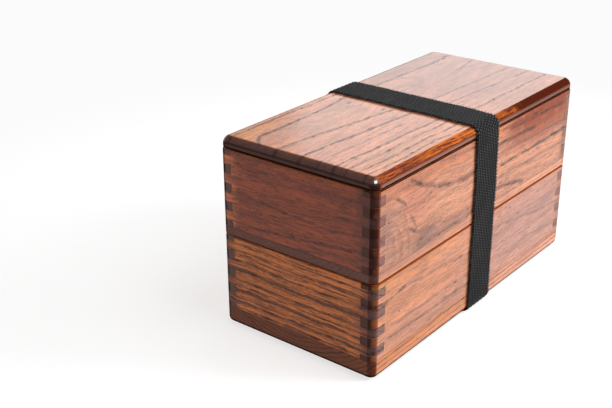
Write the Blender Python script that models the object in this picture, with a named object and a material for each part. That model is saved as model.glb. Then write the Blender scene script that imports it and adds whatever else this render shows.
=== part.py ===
"""A two-tier wooden lunch box: a lid, two finger-jointed tiers and an elastic band round them.

X runs across the box, Y along it and Z up. The long sides face -X and +X, the ends -Y and +Y.
The box stands upright, centred on the origin, with the band's lower run on the ground.
"""

import math

import bmesh
import bpy
from mathutils import Vector

# Overall outline of the box, in metres.
BOX_LENGTH = 0.1945
BOX_WIDTH = 0.095
CORNER_RADIUS = 0.004  # the upright corners of both tiers
EDGE_EASE = 0.0006  # the sanded edges where lid and tiers meet

# Lower tier.
LOWER_BOTTOM_THICKNESS = 0.010
LOWER_BOTTOM_ROUNDING = 0.003  # the edge that meets the table
LOWER_WALL_HEIGHT = 0.0413
LOWER_END_THICKNESS = 0.009
LOWER_SIDE_THICKNESS = 0.0076
LOWER_RIM_FINGER = 0.0029  # the side board's part finger at the rim
LOWER_FOOT_FINGER = 0.0029  # and at the bottom board

# Upper tier.
UPPER_BOTTOM_THICKNESS = 0.0047
UPPER_WALL_HEIGHT = 0.0417
UPPER_END_THICKNESS = 0.0075
UPPER_SIDE_THICKNESS = 0.0073
UPPER_RIM_FINGER = 0.0028
UPPER_FOOT_FINGER = 0.0037
UPPER_STEP_DEPTH = 0.0035  # how far the upper tier's bottom reaches into the lower tier

# Lid.
LID_THICKNESS = 0.006
LID_ROUND_OVER = 0.0041
LID_CORNER_RADIUS = 0.0046
LID_TONGUE_DEPTH = 0.003  # how far the lid reaches into the upper tier
LOCATING_CORNER_RADIUS = 0.0015  # the upright corners of the tongue and the step
LOCATING_EDGE_EASE = 0.0005  # their lower edge, rounded so that it finds the mouth

# Finger joints.
END_FINGERS = 4  # fingers of each end board, at each corner of a tier

# Elastic band.
BAND_WIDTH = 0.022
BAND_THICKNESS = 0.001
BAND_CENTRE_Y = 0.0004
BAND_OVERLAP_LENGTH = 0.012  # where the two ends are sewn over each other
BAND_OVERLAP_HEIGHT = 0.030  # the height of that overlap's middle, on the -X side
BAND_CUT_EDGE = 0.0005  # how far the outer layer takes to end at each side of the overlap

# Clearances.
GLUE_LINE = 0.00012  # between boards that are glued
LIFT_GAP = 0.0003  # between pieces that lift off each other
MOUTH_GAP = 0.0004  # between a tier's mouth and what drops into it
BAND_GAP = 0.0003  # between the band and the box

# How finely the round stretches are divided.
CORNER_SEGMENTS = 8
ROUND_OVER_SEGMENTS = 8
EASE_SEGMENTS = 2
CUTTER_REACH = 0.002  # how far a cutter runs past the faces that it opens
SMOOTH_ANGLE = math.radians(25)  # faces that meet at less than this are shaded as one surface
SAME_PLACE = 1e-6  # points nearer than this are at one place

WOOD_COLOUR = (0.235, 0.078, 0.035, 1.0)
LID_COLOUR = (0.29, 0.115, 0.062, 1.0)
END_GRAIN_COLOUR = (0.11, 0.036, 0.018, 1.0)
BAND_COLOUR = (0.014, 0.014, 0.016, 1.0)


def clear_scene():
    for obj in list(bpy.data.objects):
        bpy.data.objects.remove(obj, do_unlink=True)


def make_material(name, colour, roughness):
    """A Principled material; nothing on this box is metal."""
    material = bpy.data.materials.new(name)
    material.use_nodes = True
    shader = material.node_tree.nodes["Principled BSDF"]
    shader.inputs["Base Color"].default_value = colour
    shader.inputs["Roughness"].default_value = roughness
    shader.inputs["Metallic"].default_value = 0.0
    return material


def make_carrier(name, height, parent=None):
    """An empty on the middle line of the box, at the underside of the pieces that move with it."""
    carrier = bpy.data.objects.new(name, None)
    bpy.context.scene.collection.objects.link(carrier)
    carrier.parent = parent
    carrier.location = (0, 0, height - (parent.location.z if parent else 0))
    return carrier


def make_object(name, shape, carrier, material=None):
    """Turns a bmesh into an object that its carrier holds. Its mesh is in the carrier's coordinates."""
    mesh = bpy.data.meshes.new(name)
    bmesh.ops.recalc_face_normals(shape, faces=shape.faces)
    shape.to_mesh(mesh)
    shape.free()
    obj = bpy.data.objects.new(name, mesh)
    bpy.context.scene.collection.objects.link(obj)
    obj.parent = carrier
    if material:
        mesh.materials.append(material)
        mesh.shade_smooth()
        mesh.set_sharp_from_angle(angle=SMOOTH_ANGLE)
    return obj


def make_helper(name, shape, owner):
    """A hidden solid that a Boolean reads. It is held by the board that it cuts or adds to."""
    helper = make_object(name, shape, owner)
    helper.hide_render = True
    helper.display_type = "WIRE"
    return helper


def combine(obj, helper, operation):
    modifier = obj.modifiers.new(helper.name, "BOOLEAN")
    modifier.operation = operation
    modifier.solver = "EXACT"
    modifier.object = helper


def add_block(shape, low, high):
    """Adds a rectangular block between two corners to a bmesh."""
    low, high = Vector(low), Vector(high)
    made = bmesh.ops.create_cube(shape, size=1.0)["verts"]
    bmesh.ops.scale(shape, vec=high - low, verts=made)
    bmesh.ops.translate(shape, vec=(low + high) / 2, verts=made)


def block(low, high):
    shape = bmesh.new()
    add_block(shape, low, high)
    return shape


def is_near(a, b):
    return abs(a - b) < SAME_PLACE


def upright_edges(shape, where):
    """The edges that run along Z at places where(x, y) accepts."""
    found = []
    for edge in shape.edges:
        a, b = (vert.co for vert in edge.verts)
        if is_near(a.x, b.x) and is_near(a.y, b.y) and where(a.x, a.y):
            found.append(edge)
    return found


def level_edges(shape, height, where=lambda a, b: True):
    """The edges at one height whose two ends where(a, b) accepts."""
    found = []
    for edge in shape.edges:
        a, b = (vert.co for vert in edge.verts)
        if is_near(a.z, height) and is_near(b.z, height) and where(a, b):
            found.append(edge)
    return found


def round_edges(shape, edges, radius, segments):
    bmesh.ops.bevel(
        shape,
        geom=edges,
        offset=radius,
        offset_type="OFFSET",
        segments=segments,
        profile=0.5,
        affect="EDGES",
    )


def plate(half_width, half_length, low, high, corner_radius):
    """A flat rectangular board with its four upright corners rounded."""
    shape = block((-half_width, -half_length, low), (half_width, half_length, high))
    round_edges(shape, upright_edges(shape, lambda x, y: True), corner_radius, CORNER_SEGMENTS)
    return shape


def locating_plate(side_thickness, end_thickness, low, high):
    """The raised field that drops into the mouth of a tier with walls this thick."""
    half_width = BOX_WIDTH / 2 - side_thickness - MOUTH_GAP
    half_length = BOX_LENGTH / 2 - end_thickness - MOUTH_GAP
    shape = plate(half_width, half_length, low, high, LOCATING_CORNER_RADIUS)
    round_edges(shape, level_edges(shape, low), LOCATING_EDGE_EASE, EASE_SEGMENTS)
    return shape


def finger_spans(wall_height, foot_finger, rim_finger):
    """Heights of the end boards' fingers and of the side boards' fingers, from the foot of the wall."""
    steps = 2 * END_FINGERS - 1
    pitch = (wall_height - foot_finger - rim_finger) / steps
    levels = [foot_finger + pitch * step for step in range(steps + 1)]
    end_spans = list(zip(levels[0::2], levels[1::2]))
    side_spans = list(zip([0.0] + levels[1::2], levels[0::2] + [wall_height]))
    return end_spans, side_spans


def socket_blocks(spans, foot, wall_height, socket_corners):
    """Blocks that clear the room for the neighbour's fingers, a glue line larger than they are."""
    shape = bmesh.new()
    for low, high in spans:
        bottom = foot + low - (CUTTER_REACH if is_near(low, 0) else GLUE_LINE / 2)
        top = foot + high + (CUTTER_REACH if is_near(high, wall_height) else GLUE_LINE / 2)
        for near, far in socket_corners:
            add_block(shape, (*near, bottom), (*far, top))
    return shape


def make_end_board(name, tier, carrier, material, turn):
    """An end board, made at the -Y end, and turned half round for the +Y end."""
    half_width, half_length = BOX_WIDTH / 2, BOX_LENGTH / 2
    foot, rim = tier["foot"], tier["foot"] + tier["wall_height"]
    inner_y = -half_length + tier["end_thickness"]
    shape = block((-half_width, -half_length, foot), (half_width, inner_y, rim))
    corners = upright_edges(shape, lambda x, y: is_near(y, -half_length))
    round_edges(shape, corners, tier["corner_radius"], CORNER_SEGMENTS)
    outer_rim = level_edges(shape, rim, lambda a, b: max(a.y, b.y) < inner_y - SAME_PLACE)
    round_edges(shape, outer_rim, EDGE_EASE, EASE_SEGMENTS)
    board = make_object(name, shape, carrier, material)
    board.rotation_euler.z = turn

    socket_x = half_width - tier["side_thickness"] - GLUE_LINE
    past_x = half_width + CUTTER_REACH
    corners_of_sockets = []
    for low_x, high_x in ((-past_x, -socket_x), (socket_x, past_x)):
        near = (low_x, -half_length - CUTTER_REACH)
        corners_of_sockets.append((near, (high_x, inner_y + CUTTER_REACH)))
    cutter = socket_blocks(tier["side_spans"], foot, tier["wall_height"], corners_of_sockets)
    combine(board, make_helper(name + "_sockets", cutter, board), "DIFFERENCE")


def make_side_board(name, tier, carrier, material, turn):
    """A long side board, made at the +X side, and turned half round for the -X side."""
    half_width, half_length = BOX_WIDTH / 2, BOX_LENGTH / 2
    foot, rim = tier["foot"], tier["foot"] + tier["wall_height"]
    inner_x = half_width - tier["side_thickness"]
    shape = block((inner_x, -half_length, foot), (half_width, half_length, rim))
    corners = upright_edges(shape, lambda x, y: is_near(x, half_width))
    round_edges(shape, corners, tier["corner_radius"], CORNER_SEGMENTS)
    outer_rim = level_edges(shape, rim, lambda a, b: max(a.x, b.x) > inner_x + SAME_PLACE)
    round_edges(shape, outer_rim, EDGE_EASE, EASE_SEGMENTS)
    board = make_object(name, shape, carrier, material)
    board.rotation_euler.z = turn

    socket_y = half_length - tier["end_thickness"] - GLUE_LINE
    past_y = half_length + CUTTER_REACH
    corners_of_sockets = []
    for low_y, high_y in ((-past_y, -socket_y), (socket_y, past_y)):
        near = (inner_x - CUTTER_REACH, low_y)
        corners_of_sockets.append((near, (half_width + CUTTER_REACH, high_y)))
    cutter = socket_blocks(tier["end_spans"], foot, tier["wall_height"], corners_of_sockets)
    combine(board, make_helper(name + "_sockets", cutter, board), "DIFFERENCE")


def make_walls(prefix, tier, carrier, side_material, end_material):
    make_end_board(prefix + "_front_end", tier, carrier, end_material, 0.0)
    make_end_board(prefix + "_back_end", tier, carrier, end_material, math.pi)
    make_side_board(prefix + "_right_side", tier, carrier, side_material, 0.0)
    make_side_board(prefix + "_left_side", tier, carrier, side_material, math.pi)


def describe_tier(bottom, wall_height, end_thickness, side_thickness, foot_finger, rim_finger):
    """The sizes that the four walls of one tier share. Heights start at the tier's underside."""
    end_spans, side_spans = finger_spans(wall_height, foot_finger, rim_finger)
    return {
        "foot": bottom + GLUE_LINE,
        "wall_height": wall_height,
        "end_thickness": end_thickness,
        "side_thickness": side_thickness,
        "corner_radius": min(CORNER_RADIUS, 0.9 * end_thickness, 0.9 * side_thickness),
        "end_spans": end_spans,
        "side_spans": side_spans,
    }


def make_lower_bottom(carrier, material):
    """A flat board under the walls, with its lower edge rounded all the way round.

    Returns the radius of that rounding, which the band follows.
    """
    shape = plate(BOX_WIDTH / 2, BOX_LENGTH / 2, 0, LOWER_BOTTOM_THICKNESS, CORNER_RADIUS)
    rounding = min(LOWER_BOTTOM_ROUNDING, 0.9 * CORNER_RADIUS, 0.9 * LOWER_BOTTOM_THICKNESS)
    round_edges(shape, level_edges(shape, 0), rounding, ROUND_OVER_SEGMENTS)
    make_object("lower_bottom_board", shape, carrier, material)
    return rounding


def make_upper_bottom(carrier, material):
    """The upper tier's bottom, with a step beneath that drops into the lower tier's mouth."""
    shape = plate(BOX_WIDTH / 2, BOX_LENGTH / 2, 0, UPPER_BOTTOM_THICKNESS, CORNER_RADIUS)
    round_edges(shape, level_edges(shape, 0), EDGE_EASE, EASE_SEGMENTS)
    board = make_object("upper_bottom_board", shape, carrier, material)
    overlap = UPPER_BOTTOM_THICKNESS / 2
    step = locating_plate(
        LOWER_SIDE_THICKNESS, LOWER_END_THICKNESS, -UPPER_STEP_DEPTH - LIFT_GAP, overlap
    )
    combine(board, make_helper("upper_bottom_step", step, board), "UNION")


def make_lid(carrier, material):
    """One board with a rounded-over top edge and a tongue beneath that fits the upper tier's mouth.

    Returns the radius of the round-over, which the band follows.
    """
    shape = plate(BOX_WIDTH / 2, BOX_LENGTH / 2, 0, LID_THICKNESS, LID_CORNER_RADIUS)
    round_over = min(LID_ROUND_OVER, 0.95 * LID_CORNER_RADIUS, LID_THICKNESS - 2 * EDGE_EASE)
    round_edges(shape, level_edges(shape, LID_THICKNESS), round_over, ROUND_OVER_SEGMENTS)
    round_edges(shape, level_edges(shape, 0), EDGE_EASE, EASE_SEGMENTS)
    lid = make_object("lid", shape, carrier, material)
    tongue = locating_plate(
        UPPER_SIDE_THICKNESS, UPPER_END_THICKNESS, -LID_TONGUE_DEPTH - LIFT_GAP, LID_THICKNESS / 2
    )
    combine(lid, make_helper("lid_tongue", tongue, lid), "UNION")
    return round_over


def band_path(box_low, box_high, low_radius, high_radius):
    """Points and outward directions on the box's outline in the XZ plane, each with its height.

    The outline starts on the -X side above the sewn overlap and runs up, over the lid, down the +X
    side, under the box and back. Each point is (x, z, direction x, direction z).
    """
    half_width = BOX_WIDTH / 2
    corners = (
        (-1, box_high, high_radius, math.pi),
        (1, box_high, high_radius, math.pi / 2),
        (1, box_low, low_radius, 0.0),
        (-1, box_low, low_radius, -math.pi / 2),
    )
    points = []
    for side, edge, radius, start in corners:
        centre_x = side * (half_width - radius)
        centre_z = edge - radius if edge == box_high else edge + radius
        for step in range(ROUND_OVER_SEGMENTS + 1):
            angle = start - math.pi / 2 * step / ROUND_OVER_SEGMENTS
            direction = (math.cos(angle), math.sin(angle))
            x = centre_x + radius * direction[0]
            z = centre_z + radius * direction[1]
            points.append((x, z, *direction))
    return points


def make_band(carrier, material, box_low, box_high, low_radius, high_radius):
    """A closed loop of flat elastic that follows the outline, doubled where its ends are sewn."""
    stations = []
    for x, z, across, up in band_path(box_low, box_high, low_radius, high_radius):
        stations.append((x, z, across, up, BAND_THICKNESS))
    overlap_low = BAND_OVERLAP_HEIGHT - BAND_OVERLAP_LENGTH / 2
    overlap_high = BAND_OVERLAP_HEIGHT + BAND_OVERLAP_LENGTH / 2
    for height, thickness in (
        (overlap_low, BAND_THICKNESS),
        (overlap_low + BAND_CUT_EDGE, 2 * BAND_THICKNESS),
        (overlap_high - BAND_CUT_EDGE, 2 * BAND_THICKNESS),
        (overlap_high, BAND_THICKNESS),
    ):
        stations.append((-BOX_WIDTH / 2, height, -1.0, 0.0, thickness))

    shape = bmesh.new()
    near_y, far_y = BAND_CENTRE_Y - BAND_WIDTH / 2, BAND_CENTRE_Y + BAND_WIDTH / 2
    rings = []
    for x, z, across, up, thickness in stations:
        ring = []
        for y, out in (
            (near_y, BAND_GAP),
            (near_y, BAND_GAP + thickness),
            (far_y, BAND_GAP + thickness),
            (far_y, BAND_GAP),
        ):
            ring.append(shape.verts.new((x + across * out, y, z + up * out)))
        rings.append(ring)
    for ring, following in zip(rings, rings[1:] + rings[:1]):
        for here in range(4):
            after = (here + 1) % 4
            shape.faces.new((ring[here], ring[after], following[after], following[here]))
    make_object("elastic_band", shape, carrier, material)


def main():
    clear_scene()
    side_wood = make_material("side_wood", WOOD_COLOUR, 0.35)
    end_wood = make_material("end_wood", END_GRAIN_COLOUR, 0.4)
    lid_wood = make_material("lid_wood", LID_COLOUR, 0.3)
    elastic = make_material("woven_elastic", BAND_COLOUR, 0.9)

    lower_height = LOWER_BOTTOM_THICKNESS + GLUE_LINE + LOWER_WALL_HEIGHT
    upper_height = UPPER_BOTTOM_THICKNESS + GLUE_LINE + UPPER_WALL_HEIGHT
    lower_base = BAND_GAP + BAND_THICKNESS
    upper_base = lower_base + lower_height + LIFT_GAP
    lid_base = upper_base + upper_height + LIFT_GAP

    lower_carrier = make_carrier("lower_tier_carrier", lower_base)
    upper_carrier = make_carrier("upper_tier_carrier", upper_base)
    lid_carrier = make_carrier("lid_carrier", lid_base, upper_carrier)
    band_carrier = make_carrier("band_carrier", 0.0)

    lower_tier = describe_tier(
        LOWER_BOTTOM_THICKNESS,
        LOWER_WALL_HEIGHT,
        LOWER_END_THICKNESS,
        LOWER_SIDE_THICKNESS,
        LOWER_FOOT_FINGER,
        LOWER_RIM_FINGER,
    )
    rounding = make_lower_bottom(lower_carrier, end_wood)
    make_walls("lower", lower_tier, lower_carrier, side_wood, end_wood)

    upper_tier = describe_tier(
        UPPER_BOTTOM_THICKNESS,
        UPPER_WALL_HEIGHT,
        UPPER_END_THICKNESS,
        UPPER_SIDE_THICKNESS,
        UPPER_FOOT_FINGER,
        UPPER_RIM_FINGER,
    )
    make_upper_bottom(upper_carrier, end_wood)
    make_walls("upper", upper_tier, upper_carrier, side_wood, end_wood)

    round_over = make_lid(lid_carrier, lid_wood)
    lid_top = lid_base + LID_THICKNESS
    make_band(band_carrier, elastic, lower_base, lid_top, rounding, round_over)


main()
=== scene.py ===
# %% [markdown]
# # A wooden lunch box held shut by an elastic band
#
# The box is a lid on two stacked tiers. Every tier is a bottom board with four finger-jointed walls
# on it, and a flat woven band goes round the whole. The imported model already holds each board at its
# real size, so this lesson gives the boards their wood and lacquer, weaves the band and lights the
# result.
#
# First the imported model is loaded. Everything after this works in its frame, in metres, with Z up,
# the box's length along Y and the photographed long side facing +X.

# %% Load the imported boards
import math

import bmesh
import bpy
from mathutils import Matrix, Vector


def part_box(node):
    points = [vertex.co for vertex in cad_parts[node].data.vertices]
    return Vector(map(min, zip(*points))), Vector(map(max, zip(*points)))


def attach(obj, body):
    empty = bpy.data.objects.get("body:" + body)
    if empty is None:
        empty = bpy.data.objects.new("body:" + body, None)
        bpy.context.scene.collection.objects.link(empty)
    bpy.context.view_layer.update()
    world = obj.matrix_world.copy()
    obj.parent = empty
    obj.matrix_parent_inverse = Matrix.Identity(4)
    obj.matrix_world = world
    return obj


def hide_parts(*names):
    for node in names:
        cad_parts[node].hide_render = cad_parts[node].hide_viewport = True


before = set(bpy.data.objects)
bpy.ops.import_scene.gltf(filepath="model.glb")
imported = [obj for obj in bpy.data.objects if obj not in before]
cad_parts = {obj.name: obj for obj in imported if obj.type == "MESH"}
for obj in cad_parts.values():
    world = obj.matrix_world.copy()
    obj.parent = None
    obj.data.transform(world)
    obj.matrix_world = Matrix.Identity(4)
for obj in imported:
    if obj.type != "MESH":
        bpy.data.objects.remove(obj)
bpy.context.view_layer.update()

boards = {name: obj for name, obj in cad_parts.items() if name != "elastic_band"}
print("boards:", ", ".join(sorted(boards)))

# %% [markdown]
# ## Where the lens stands
#
# A product photographer looks at such a box from a little above the lid, past its near corner. The
# lens is a short telephoto, so the long edges still converge but the box doesn't look stretched.
# Azimuth is measured from the front end, and the roll is the small tilt of a hand-held frame. In
# Blender an object shows only once it is linked into the scene, so one helper makes it and links it.

# %% Camera
CAMERA_PLACE = (0.2911, -0.4484, 0.2847)
CAMERA_AZIMUTH = math.radians(38.94)
CAMERA_ELEVATION = math.radians(23.99)
CAMERA_ROLL = math.radians(-0.42)
CAMERA_LENS = 61.84
SENSOR_WIDTH = 36.0
NEAREST_SEEN = 0.01


def add_object(name, data):
    """Puts an object with this mesh, lamp or camera into the scene."""
    obj = bpy.data.objects.new(name, data)
    bpy.context.scene.collection.objects.link(obj)
    return obj


def look_along(obj, azimuth, elevation, roll):
    """Turns obj so that its -Z axis looks at the box from this azimuth and elevation."""
    back = Vector((
        math.sin(azimuth) * math.cos(elevation),
        -math.cos(azimuth) * math.cos(elevation),
        math.sin(elevation),
    ))
    level = Vector((math.cos(azimuth), math.sin(azimuth), 0.0))
    upright = back.cross(level)
    right = level * math.cos(roll) + upright * math.sin(roll)
    up = upright * math.cos(roll) - level * math.sin(roll)
    matrix = obj.matrix_world.to_3x3()
    for row in range(3):
        matrix[row] = (right[row], up[row], back[row])
    obj.rotation_euler = matrix.to_euler()


camera_data = bpy.data.cameras.new("camera")
camera_data.lens = CAMERA_LENS
camera_data.sensor_width = SENSOR_WIDTH
camera_data.clip_start = NEAREST_SEEN
camera = add_object("camera", camera_data)
camera.location = CAMERA_PLACE
look_along(camera, CAMERA_AZIMUTH, CAMERA_ELEVATION, CAMERA_ROLL)
bpy.context.scene.camera = camera
print("camera:", [round(value, 4) for value in camera.location])

# %% [markdown]
# ## Rounded edges that look round
#
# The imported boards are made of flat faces, eight of them round each rounded corner. A real sander
# leaves no such steps. The boards keep their shape exactly, and only their shading is made smooth: a
# node modifier joins the faces' corners, marks every edge that turns by more than 30 degrees as
# sharp and shades the rest smoothly, and a second modifier lets the large flat faces keep their own
# direction, so that the flats stay flat to the eye.

# %% Smooth shading for the boards
SHARP_FROM = math.radians(30.0)
FLAT_WITHIN = math.radians(0.5)
SAME_PLACE = 0.000001


def make_smooth_edges():
    tree = bpy.data.node_groups.new("smooth_edges", "GeometryNodeTree")
    for direction in ("INPUT", "OUTPUT"):
        tree.interface.new_socket(
            name="Geometry", in_out=direction, socket_type="NodeSocketGeometry"
        )
    start = tree.nodes.new("NodeGroupInput")
    end = tree.nodes.new("NodeGroupOutput")
    forget = tree.nodes.new("GeometryNodeRemoveAttribute")
    forget.inputs["Name"].default_value = "custom_normal"
    faces = tree.nodes.new("GeometryNodeSetShadeSmooth")
    faces.domain = "FACE"
    edges = tree.nodes.new("GeometryNodeSetShadeSmooth")
    edges.domain = "EDGE"
    turn = tree.nodes.new("GeometryNodeInputMeshEdgeAngle")
    gentle = tree.nodes.new("FunctionNodeCompare")
    gentle.data_type = "FLOAT"
    gentle.operation = "LESS_EQUAL"
    gentle.inputs["B"].default_value = SHARP_FROM
    tree.links.new(turn.outputs["Unsigned Angle"], gentle.inputs["A"])
    tree.links.new(gentle.outputs[0], edges.inputs["Shade Smooth"])
    chain = (start, forget, faces, edges, end)
    for earlier, later in zip(chain, chain[1:]):
        tree.links.new(earlier.outputs[0], later.inputs[0])
    return tree


smooth_edges = make_smooth_edges()
for obj in boards.values():
    obj.modifiers.new("join", "WELD").merge_threshold = SAME_PLACE
    merge_flats = obj.modifiers.new("merge_flats", "DECIMATE")
    merge_flats.decimate_type = "DISSOLVE"
    merge_flats.angle_limit = FLAT_WITHIN
    obj.modifiers.new("smooth_edges", "NODES").node_group = smooth_edges
    obj.modifiers.new("keep_flats", "WEIGHTED_NORMAL").keep_sharp = True
print("smoothly shaded boards:", len(boards))

# %% [markdown]
# ## Writing shader nodes briefly
#
# The wood needs many small nodes. These helpers add a node, fill its inputs with numbers or with
# other nodes' outputs, and hand back its output, so that a material reads like a formula.

# %% Node helpers
class Graph:
    """Adds nodes to one tree. An input may be given a number, a tuple or another node's output.

    Colours are written without their alpha, which is always 1.
    """

    def __init__(self, tree):
        self.tree = tree

    def feed(self, socket, value):
        if isinstance(value, bpy.types.NodeSocket):
            self.tree.links.new(value, socket)
        elif socket.type == "RGBA":
            socket.default_value = (*value, 1.0)
        else:
            socket.default_value = value

    def node(self, kind, inputs=None, **settings):
        made = self.tree.nodes.new(kind)
        for name, value in settings.items():
            setattr(made, name, value)
        for name, value in (inputs or {}).items():
            self.feed(made.inputs[name], value)
        return made

    def maths(self, operation, *values):
        made = self.node("ShaderNodeMath", operation=operation)
        for socket, value in zip(made.inputs, values):
            self.feed(socket, value)
        return made.outputs[0]

    def add(self, a, b):
        return self.maths("ADD", a, b)

    def less(self, a, b):
        return self.maths("SUBTRACT", a, b)

    def times(self, *values):
        result = values[0]
        for value in values[1:]:
            result = self.maths("MULTIPLY", result, value)
        return result

    def most(self, *values):
        result = values[0]
        for value in values[1:]:
            result = self.maths("MAXIMUM", result, value)
        return result

    def between(self, value, low, high):
        """0 up to low, 1 from high on, with a smooth step between. low may be above high."""
        made = self.node("ShaderNodeMapRange", interpolation_type="SMOOTHSTEP")
        for socket, given in zip(made.inputs, (value, low, high, 0.0, 1.0)):
            self.feed(socket, given)
        return made.outputs[0]

    def parts(self, vector):
        return self.node("ShaderNodeSeparateXYZ", {"Vector": vector}).outputs

    def vector(self, x, y, z):
        return self.node("ShaderNodeCombineXYZ", {"X": x, "Y": y, "Z": z}).outputs[0]

    def vector_maths(self, operation, first, second):
        made = self.node("ShaderNodeVectorMath", operation=operation)
        self.feed(made.inputs[0], first)
        self.feed(made.inputs[1], second)
        return made.outputs["Value" if operation == "DOT_PRODUCT" else "Vector"]

    def millimetres(self):
        """The point on the object, in millimetres."""
        point = self.node("ShaderNodeTexCoord").outputs["Object"]
        return self.vector_maths("MULTIPLY", point, (1000.0, 1000.0, 1000.0))

    def noise(self, where, length, width, detail=2.0, roughness=0.5):
        """Noise whose spots are about this long along a board and this wide across it, in mm."""
        stretch = (1.0 / length, 1.0 / width, 1.0 / width)
        made = self.node(
            "ShaderNodeTexNoise",
            {
                "Vector": self.vector_maths("MULTIPLY", where, stretch),
                "Scale": 1.0,
                "Detail": detail,
                "Roughness": roughness,
            },
        )
        return made.outputs[0]

    def mix(self, share, first, second):
        """A colour that goes from first to second as share goes from 0 to 1."""
        made = self.node("ShaderNodeMix", data_type="RGBA")
        for index, value in ((0, share), (6, first), (7, second)):
            self.feed(made.inputs[index], value)
        return made.outputs[2]

    def group(self, tree, **inputs):
        """Places a group. Its inputs are given by name, with _ for each space."""
        given = {name.replace("_", " "): value for name, value in inputs.items()}
        return self.node("ShaderNodeGroup", given, node_tree=tree).outputs


SOCKETS = {float: "NodeSocketFloat", tuple: "NodeSocketColor", str: "NodeSocketVector"}


def new_group(name, inputs, outputs):
    """An empty shader group. An input is a number, a colour, or the word vector."""
    tree = bpy.data.node_groups.new(name, "ShaderNodeTree")
    for label, value in inputs.items():
        kind = SOCKETS[type(value)]
        socket = tree.interface.new_socket(name=label, in_out="INPUT", socket_type=kind)
        if kind == "NodeSocketColor":
            socket.default_value = (*value, 1.0)
        elif value != "vector":
            socket.default_value = value
    for label in outputs:
        kind = "NodeSocketColor" if label == "Color" else "NodeSocketFloat"
        tree.interface.new_socket(name=label, in_out="OUTPUT", socket_type=kind)
    graph = Graph(tree)
    return graph, graph.node("NodeGroupInput").outputs, graph.node("NodeGroupOutput").inputs


def new_material(name):
    """A new material, its graph and its surface shader."""
    material = bpy.data.materials.new(name)
    material.use_nodes = True
    return material, Graph(material.node_tree), material.node_tree.nodes["Principled BSDF"]


print("kinds of group input:", len(SOCKETS))

# %% [markdown]
# ## Growth rings
#
# A board is a slice out of a log, and a log is a set of nested tubes round its pith. Where a face
# cuts them lengthwise they show as lines and pointed arches, and across the end as arcs. Worked out
# in three dimensions, from the distance to the pith, every face of a board shows the right cut of
# the same log, and the lines run on over the rounded edges.
#
# The group works in millimetres on a board's own axes: along the grain, across it, and through its
# thickness. The pith may lean, and slow noise makes the tubes wander as a real trunk does.

# %% Group for growth rings
def make_growth_rings():
    graph, given, made = new_group(
        "growth_rings",
        {
            "Board": "vector",
            "Pith Across": 28.0,
            "Pith Depth": -60.0,
            "Lean": 0.0,
            "Ring Width": 4.0,
            "Wander": 3.0,
            "Sharpness": 0.5,
        },
        ("Line", "Tint"),
    )
    along, across, depth = graph.parts(given["Board"])
    drift = graph.less(graph.noise(given["Board"], 70.0, 22.0, 3.0), 0.5)
    comb = graph.less(graph.noise(given["Board"], 7.0, 0.8, 1.0), 0.5)
    sideways = graph.less(across, given["Pith Across"])
    lean = graph.times(given["Lean"], along)
    inwards = graph.less(depth, graph.add(given["Pith Depth"], lean))
    squares = graph.add(graph.times(sideways, sideways), graph.times(inwards, inwards))
    radius = graph.add(graph.maths("SQRT", squares), graph.times(drift, given["Wander"]))
    radius = graph.add(radius, graph.times(comb, given["Sharpness"]))
    turns = graph.maths("DIVIDE", radius, given["Ring Width"])
    rise = graph.maths("FRACT", turns)
    number = graph.maths("FLOOR", turns)
    chance = graph.node("ShaderNodeTexWhiteNoise", {"W": number}, noise_dimensions="1D").outputs[0]
    late = graph.times(graph.between(rise, 0.58, 0.90), graph.between(rise, 1.0, 0.93))
    graph.feed(made["Line"], graph.times(late, graph.add(graph.times(chance, 0.75), 0.25)))
    graph.feed(made["Tint"], chance)
    return graph.tree


growth_rings = make_growth_rings()
print("growth rings:", len(growth_rings.nodes), "nodes")

# %% [markdown]
# ## Single strong lines, knots and soft spots
#
# On the real boards some ring lines stand out, because the vessels along them are wide and full of
# dark lacquer. They are placed one by one, from where they enter the board to where they leave it,
# with a bow between. One slow noise for the whole board bends neighbouring lines together, and
# another makes them thin and thicken. A knot is where a branch grew: the lines go round it in ovals.
# A soft spot is a large oval with a ragged rim, where the wood is lighter, redder or greyer, or where
# light or shade is painted.

# %% Groups for a strong line, a knot and a soft spot
def make_strong_line():
    graph, given, made = new_group(
        "strong_line",
        {
            "Along": 0.0,
            "Across": 0.0,
            "Breaks": 0.5,
            "From": 0.0,
            "To": 190.0,
            "Start": 10.0,
            "End": 10.0,
            "Bow": 0.0,
            "Width": 1.0,
            "Strength": 1.0,
        },
        ("Mask",),
    )
    span = graph.less(given["To"], given["From"])
    share = graph.maths("DIVIDE", graph.less(given["Along"], given["From"]), span)
    bow = graph.times(share, graph.less(1.0, share), given["Bow"], 4.0)
    slope = graph.times(graph.less(given["End"], given["Start"]), share)
    middle = graph.add(graph.add(given["Start"], slope), bow)
    distance = graph.maths("ABSOLUTE", graph.less(given["Across"], middle))
    whole = graph.between(given["Breaks"], 0.26, 0.54)
    width = graph.times(given["Width"], graph.add(graph.times(whole, 0.5), 0.5))
    core = graph.between(distance, width, graph.times(width, 0.15))
    ends = graph.times(graph.between(share, -0.03, 0.06), graph.between(share, 1.03, 0.94))
    broken = graph.add(graph.times(whole, 0.55), 0.45)
    graph.feed(made["Mask"], graph.times(core, ends, broken, given["Strength"]))
    return graph.tree


def oval(graph, given, unrest):
    """How far a point is from the middle of an oval, where 1 is its rim. unrest dents the rim."""
    x = graph.less(given["Along"], given["Centre Along"])
    y = graph.less(given["Across"], given["Centre Across"])
    x = graph.maths("DIVIDE", x, given["Reach Along"])
    y = graph.maths("DIVIDE", y, given["Reach Across"])
    away = graph.maths("SQRT", graph.add(graph.times(x, x), graph.times(y, y)))
    return graph.add(away, graph.times(graph.less(given["Breaks"], 0.5), unrest))


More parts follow.
